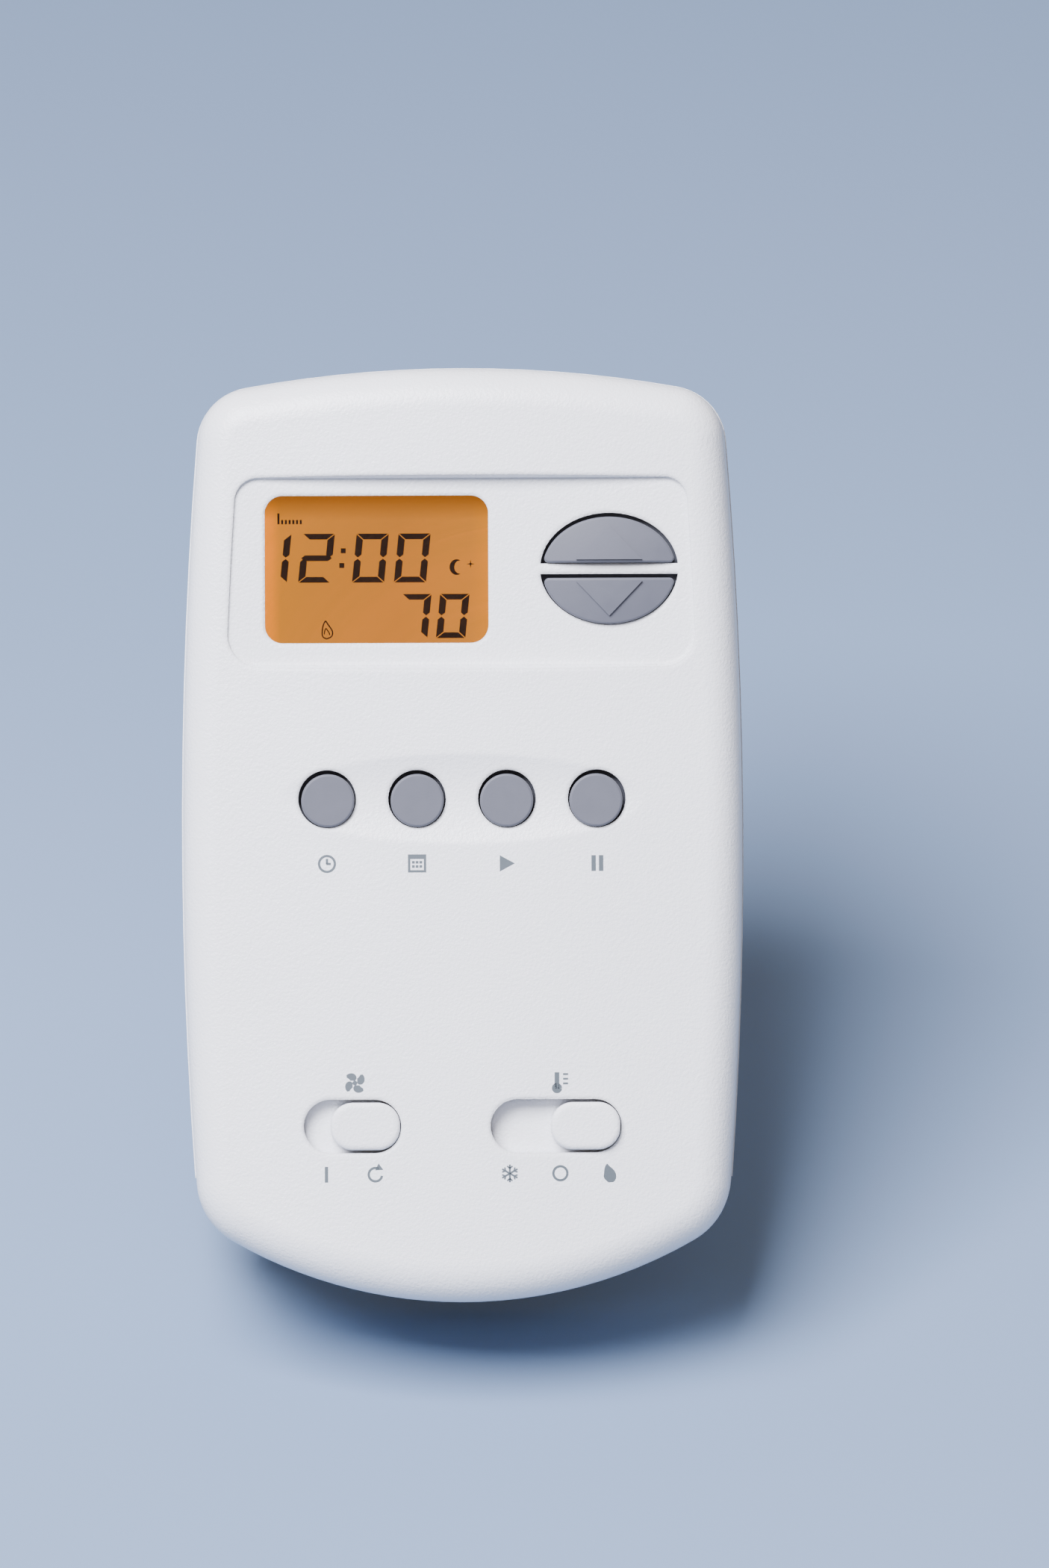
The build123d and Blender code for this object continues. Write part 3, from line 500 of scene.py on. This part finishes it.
# ---- Front cover and knobs ----------------------------------------------------------------------------
# White ABS moulded in one shot, its mould spark eroded. The two knobs come from the same resin and
# mould finish, and stand just proud of the front.

finish_nodes(grained_abs, "front_cover", "fan_knob", "system_knob")

# ---- Signs printed on the cover -----------------------------------------------------------------------
# Plain signs, pad printed in grey ink, tell what each key and knob position does. They follow the
# front's bow, and the ink stands about a hundredth of a millimetre above it.

bow_radius = 300.0
crown = 28.6
sign_scale = 1.2  # the signs are drawn smaller than they are printed


def front_depth(x):
    """Depth of the bowed front plus the ink: a circle of bow_radius whose top is at the crown."""
    return crown - bow_radius + np.sqrt(bow_radius**2 - x**2) + ink


def ring(x, z, radius, width, start=0.0, end=360.0):
    """Arc of a circle as a strip, from one angle to another in degrees."""
    angles = np.radians(np.linspace(start, end, 33))
    return strip(np.stack([x + radius * np.cos(angles), z + radius * np.sin(angles)], 1), width)


def disc(x, z, radius):
    """Filled circle: a ring whose inner edge is its centre."""
    return ring(x, z, radius / 2, radius)


def triangle(x, z, half, length, degrees):
    """Solid triangle: a strip that narrows to its tip, length long, pointing the way of the angle."""
    way = np.array([math.cos(math.radians(degrees)), math.sin(math.radians(degrees))])
    base = np.array([x, z]) - way * length / 2
    return strip([base, base + way * length / 2, base + way * length], [2 * half, half, 0.02])


def placed(x, z, *shapes):
    """Shapes drawn round the origin about 1.8 mm tall, enlarged and moved to their place."""
    return [sign_scale * shape + (x, z) for shape in shapes]


line = 0.26
under_keys, above_knobs, below_knobs = -3.6, -31.8, -43.5  # heights of the rows of signs
# Under the round keys: a clock, a calendar, a run arrow and a hold sign.
signs = placed(-17.4, under_keys, ring(0, 0, 0.85, line), strip([(0, -0.05), (0, 0.55)], line))
signs += placed(-17.4, under_keys, strip([(-0.05, 0), (0.42, 0)], line))
signs += placed(-5.8, under_keys, *[strip([(x, 0.88), (x, -0.88)], line) for x in (-0.85, 0.85)])
signs += placed(-5.8, under_keys, strip([(-0.98, 0.75), (0.98, 0.75)], 0.5))
signs += placed(-5.8, under_keys, strip([(-0.98, -0.82), (0.98, -0.82)], line))
days = [strip([(x - 0.15, z), (x + 0.15, z)], 0.28) for x in (-0.4, 0, 0.4) for z in (0.15, -0.3)]
signs += placed(-5.8, under_keys, *days)
signs += placed(5.8, under_keys, triangle(0, 0, 0.88, 1.6, 0))
signs += placed(17.4, under_keys, *[strip([(x, 0.85), (x, -0.85)], 0.48) for x in (-0.4, 0.4)])

# Above the fan knob, a four-bladed fan: each blade is a curved strip that swells away from the hub.
share = np.linspace(0, 1, 9)
reach = 1.15 * (0.22 + 0.78 * share)
blade_width = 0.115 + 0.713 * np.sin(math.pi * share**0.8 * 0.93)
for quarter in range(4):
    angle = math.pi / 2 * quarter + 0.9 * share
    blade = np.stack([reach * np.cos(angle), reach * np.sin(angle)], 1)
    signs += placed(-13.9, above_knobs, strip(blade, blade_width))
signs += placed(-13.9, above_knobs, disc(0, 0, 0.25))
# Below it, on for always at the left end of the knob's travel and automatic at the right end.
signs += placed(-17.6, below_knobs - 0.1, strip([(0, 0.85), (0, -0.85)], 0.36))
signs += placed(-11.3, below_knobs - 0.1, ring(0, 0, 0.72, line, 60, 350))
signs += placed(-11.3, below_knobs - 0.1, triangle(0.5, 0.68, 0.42, 0.75, -25))
# Above the system knob a thermometer; below it a snowflake for cool, a ring for off, a flame for heat.
signs += placed(12.1, above_knobs + 0.1, disc(0, -0.7, 0.55), strip([(0, -0.8), (0, 1.0)], 0.5))
signs += placed(12.1, above_knobs + 0.1, *[strip([(0.65, z), (1.2, z)], 0.2) for z in (0.8, 0.3, -0.2)])
for turned in np.radians([90, 150, 210, 270, 330, 390]):
    tip = 0.95 * np.array([math.cos(turned), math.sin(turned)])
    signs += placed(6.0, below_knobs, strip([0 * tip, tip], 0.2))
    for side in (0.8, -0.8):
        twig = 0.4 * np.array([math.cos(turned + side), math.sin(turned + side)])
        signs += placed(6.0, below_knobs, strip([0.55 * tip, 0.55 * tip + twig], 0.16))
signs += placed(12.5, below_knobs, ring(0, 0, 0.75, line))
heat = np.stack([0.15 * np.sin(rise * 5), 2.0 * rise - 1.0], 1)
signs += placed(18.7, below_knobs, strip(heat, 2 * (0.66 * np.sin(math.pi * rise**0.62) ** 0.85 + 0.02)))
surface_object("printed_signs", laid_on(signs, front_depth), grey_ink, "cover")

# ---- Floor, light and camera ----------------------------------------------------------------------------
# The thermostat is propped on its lower edge over a plain pale blue-grey sheet that falls away behind
# it, painted over a tooth 1 mm fine. It is clear when seen from its underside. A soft key light stands
# at the upper left.

sheet, tree, shader, place = new_material("matt_painted_sheet", Roughness=0.85)
upward = add_node(tree, "ShaderNodeSeparateXYZ", {"Vector": place}).outputs["Z"]
# painted shade: the sheet's colour darkens towards its top, standing in for the light falling off there
painted_falloff = add_node(tree, "ShaderNodeMapRange", {"Value": upward, "From Min": -0.02, "From Max": 0.2})
fibres = add_node(tree, "ShaderNodeTexNoise", {"Vector": place, "Scale": 900.0, "Detail": 3.0})
felt = add_node(tree, "ShaderNodeBump", {"Height": fibres.outputs["Fac"], "Strength": 0.2, "Distance": 1e-4})
tree.links.new(blend_colours(tree, painted_falloff.outputs["Result"], "6B809E", "4E607A"), shader.inputs["Base Color"])
tree.links.new(felt.outputs["Normal"], shader.inputs["Normal"])
behind = add_node(tree, "ShaderNodeNewGeometry").outputs["Backfacing"]
see_through = add_node(tree, "ShaderNodeBsdfTransparent")
one_sided = add_node(
    tree, "ShaderNodeMixShader", {"Fac": behind, 1: shader.outputs["BSDF"], 2: see_through.outputs["BSDF"]}
)
tree.links.new(one_sided.outputs["Shader"], tree.nodes["Material Output"].inputs["Surface"])
# Flat grid, in millimetres, that leans back from the vertical and passes under the lower edge.
x, along = np.meshgrid([-4000, 4000], [-900, 5000], indexing="ij")
lean = math.radians(53.6)
edge_y, edge_z = 0.6, -61.3
grid = np.stack([x, edge_y + along * math.sin(lean), edge_z + along * math.cos(lean)], -1)
mesh = bpy.data.meshes.new("floor")
mesh.from_pydata((grid.reshape(-1, 3) / 1000).tolist(), [], [(0, 2, 3, 1)])
mesh.materials.append(sheet)
floor = bpy.data.objects.new("floor", mesh)
bpy.context.scene.collection.objects.link(floor)

world = bpy.data.worlds.new("even_sky")
world.use_nodes = True
world.node_tree.nodes["Background"].inputs["Color"].default_value = linear("FFEEDF")
world.node_tree.nodes["Background"].inputs["Strength"].default_value = 0.5
bpy.context.scene.world = world


def soft_light(name, place, size, power, colour):
    """Square area light, size metres wide, aimed at the middle of the front; power in watts."""
    data = bpy.data.lights.new(name, "AREA")
    data.size, data.energy, data.color = size, power, linear(colour)[:3]
    lamp = bpy.data.objects.new(name, data)
    lamp.location = place
    lamp.rotation_euler = (-lamp.location).to_track_quat("-Z", "Y").to_euler()
    bpy.context.scene.collection.objects.link(lamp)


soft_light("key_light", (-0.50, -1.16, 0.82), size=0.88, power=102, colour="F8F8FF")
soft_light("fill_light", (1.1, -1.6, 0.3), size=1.2, power=2, colour="EAF1FF")

camera_data = bpy.data.cameras.new("camera")
camera_data.sensor_width = 36
camera_data.lens = 450
camera_data.clip_end = 20
camera = bpy.data.objects.new("camera", camera_data)
camera.location = (0.00806, -2.5504, 0.0066)
roll = math.radians(0.2)
camera.rotation_euler = (math.pi / 2, roll, 0)
bpy.context.scene.collection.objects.link(camera)
bpy.context.scene.camera = camera
